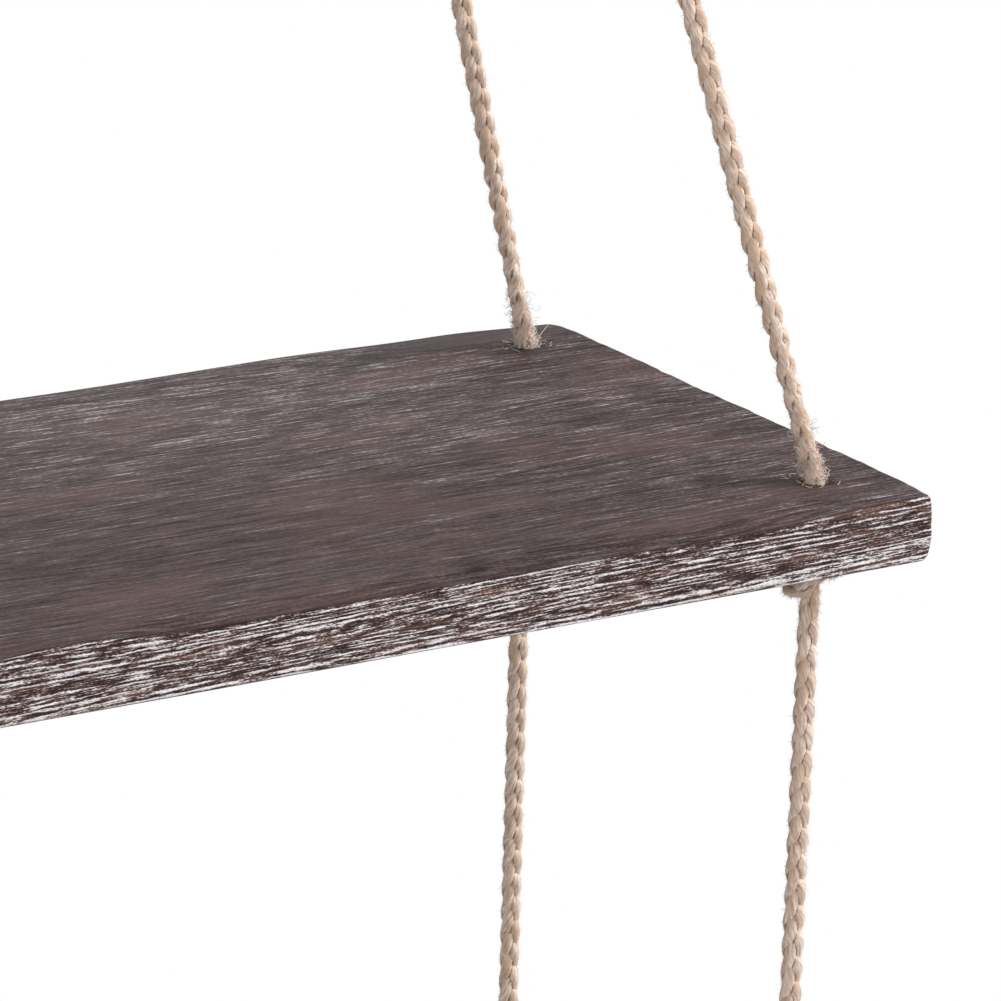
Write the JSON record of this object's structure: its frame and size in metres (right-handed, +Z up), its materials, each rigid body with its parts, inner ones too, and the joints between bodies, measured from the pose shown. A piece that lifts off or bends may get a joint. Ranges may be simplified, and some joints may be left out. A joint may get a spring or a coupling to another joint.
{
  "type": "hanging rope shelf",
  "caption": "Hanging shelf of weathered planks threaded one above the other on knotted jute rope, whose legs lean together to a steel ring for a hook.",
  "frame": {"origin": "the inside top of the hanging ring, where a hook carries the shelf", "axes": "+Z up, +X along the planks to their right-hand end, +Y to the rear"},
  "size_m": [0.412, 0.152, 0.9552],
  "materials": {
    "plank_wood": "weathered dark brown, wire-brushed grain with a pale wash on the long edges, matt",
    "jute_rope": "natural braided jute, hairy, matt",
    "ring_steel": "plain welded ring, satin"
  },
  "bodies": {
    "ring": {"hanging_ring": "ring_steel"},
    "hitches": {"hitch_left": "jute_rope", "hitch_right": "jute_rope"},
    "upper_tier": {"upper_shelf": "plank_wood", "leg_front_left": "jute_rope", "leg_front_right": "jute_rope", "leg_rear_left": "jute_rope", "leg_rear_right": "jute_rope", "knot_upper_front_left": "jute_rope", "knot_upper_front_right": "jute_rope", "knot_upper_rear_left": "jute_rope", "knot_upper_rear_right": "jute_rope"},
    "bend_top_front_left": {"bend_top_front_left": "jute_rope"},
    "rope_front_left": {"rope_front_left": "jute_rope"},
    "bend_foot_front_left": {"bend_foot_front_left": "jute_rope"},
    "bend_top_front_right": {"bend_top_front_right": "jute_rope"},
    "rope_front_right": {"rope_front_right": "jute_rope"},
    "bend_foot_front_right": {"bend_foot_front_right": "jute_rope"},
    "bend_top_rear_left": {"bend_top_rear_left": "jute_rope"},
    "rope_rear_left": {"rope_rear_left": "jute_rope"},
    "bend_foot_rear_left": {"bend_foot_rear_left": "jute_rope"},
    "bend_top_rear_right": {"bend_top_rear_right": "jute_rope"},
    "rope_rear_right": {"rope_rear_right": "jute_rope"},
    "bend_foot_rear_right": {"bend_foot_rear_right": "jute_rope"},
    "lower_tier": {"lower_shelf": "plank_wood", "knot_lower_front_left": "jute_rope", "knot_lower_front_right": "jute_rope", "knot_lower_rear_left": "jute_rope", "knot_lower_rear_right": "jute_rope"}
  },
  "joints": [
    {"name": "side_sway", "type": "hinge", "parent": "ring", "child": "hitches", "pos_m": [0, 0, -0.02], "axis": [0, 1, 0], "range_deg": [-20, 20]},
    {"name": "front_swing", "type": "hinge", "parent": "hitches", "child": "upper_tier", "pos_m": [0, 0, -0.056], "axis": [1, 0, 0], "range_deg": [-25, 25]},
    {"name": "lower_side_sway_front_left", "type": "hinge", "parent": "upper_tier", "child": "bend_top_front_left", "pos_m": [-0.1888, -0.057, -0.68877], "axis": [0, 1, 0], "range_deg": [-20, 20]},
    {"name": "lower_front_swing_front_left", "type": "hinge", "parent": "bend_top_front_left", "child": "rope_front_left", "pos_m": [-0.1888, -0.057, -0.69877], "axis": [1, 0, 0], "range_deg": [-20, 20]},
    {"name": "rope_foot_front_left", "type": "hinge", "parent": "rope_front_left", "child": "bend_foot_front_left", "pos_m": [-0.1888, -0.057, -0.886], "axis": [1, 0, 0], "range_deg": [-20, 20]},
    {"name": "lower_side_sway_front_right", "type": "hinge", "parent": "upper_tier", "child": "bend_top_front_right", "pos_m": [0.1888, -0.057, -0.68877], "axis": [0, 1, 0], "range_deg": [-20, 20]},
    {"name": "lower_front_swing_front_right", "type": "hinge", "parent": "bend_top_front_right", "child": "rope_front_right", "pos_m": [0.1888, -0.057, -0.69877], "axis": [1, 0, 0], "range_deg": [-20, 20]},
    {"name": "rope_foot_front_right", "type": "hinge", "parent": "rope_front_right", "child": "bend_foot_front_right", "pos_m": [0.1888, -0.057, -0.886], "axis": [1, 0, 0], "range_deg": [-20, 20]},
    {"name": "lower_side_sway_rear_left", "type": "hinge", "parent": "upper_tier", "child": "bend_top_rear_left", "pos_m": [-0.1888, 0.06, -0.68877], "axis": [0, 1, 0], "range_deg": [-20, 20]},
    {"name": "lower_front_swing_rear_left", "type": "hinge", "parent": "bend_top_rear_left", "child": "rope_rear_left", "pos_m": [-0.1888, 0.06, -0.69877], "axis": [1, 0, 0], "range_deg": [-20, 20]},
    {"name": "rope_foot_rear_left", "type": "hinge", "parent": "rope_rear_left", "child": "bend_foot_rear_left", "pos_m": [-0.1888, 0.06, -0.886], "axis": [1, 0, 0], "range_deg": [-20, 20]},
    {"name": "lower_side_sway_rear_right", "type": "hinge", "parent": "upper_tier", "child": "bend_top_rear_right", "pos_m": [0.1888, 0.06, -0.68877], "axis": [0, 1, 0], "range_deg": [-20, 20]},
    {"name": "lower_front_swing_rear_right", "type": "hinge", "parent": "bend_top_rear_right", "child": "rope_rear_right", "pos_m": [0.1888, 0.06, -0.69877], "axis": [1, 0, 0], "range_deg": [-20, 20]},
    {"name": "rope_foot_rear_right", "type": "hinge", "parent": "rope_rear_right", "child": "bend_foot_rear_right", "pos_m": [0.1888, 0.06, -0.886], "axis": [1, 0, 0], "range_deg": [-20, 20]},
    {"name": "lower_level", "type": "hinge", "parent": "bend_foot_front_left", "child": "lower_tier", "pos_m": [-0.1888, -0.057, -0.896], "axis": [0, 1, 0], "range_deg": [-20, 20]}
  ],
  "couplings": [
    {"joint": "rope_foot_front_left", "follows": "lower_front_swing_front_left", "ratio": -1},
    {"joint": "lower_side_sway_front_right", "follows": "lower_side_sway_front_left", "ratio": 1},
    {"joint": "lower_front_swing_front_right", "follows": "lower_front_swing_front_left", "ratio": 1},
    {"joint": "rope_foot_front_right", "follows": "lower_front_swing_front_left", "ratio": -1},
    {"joint": "lower_side_sway_rear_left", "follows": "lower_side_sway_front_left", "ratio": 1},
    {"joint": "lower_front_swing_rear_left", "follows": "lower_front_swing_front_left", "ratio": 1},
    {"joint": "rope_foot_rear_left", "follows": "lower_front_swing_front_left", "ratio": -1},
    {"joint": "lower_side_sway_rear_right", "follows": "lower_side_sway_front_left", "ratio": 1},
    {"joint": "lower_front_swing_rear_right", "follows": "lower_front_swing_front_left", "ratio": 1},
    {"joint": "rope_foot_rear_right", "follows": "lower_front_swing_front_left", "ratio": -1},
    {"joint": "lower_level", "follows": "lower_side_sway_front_left", "ratio": -1}
  ]
}
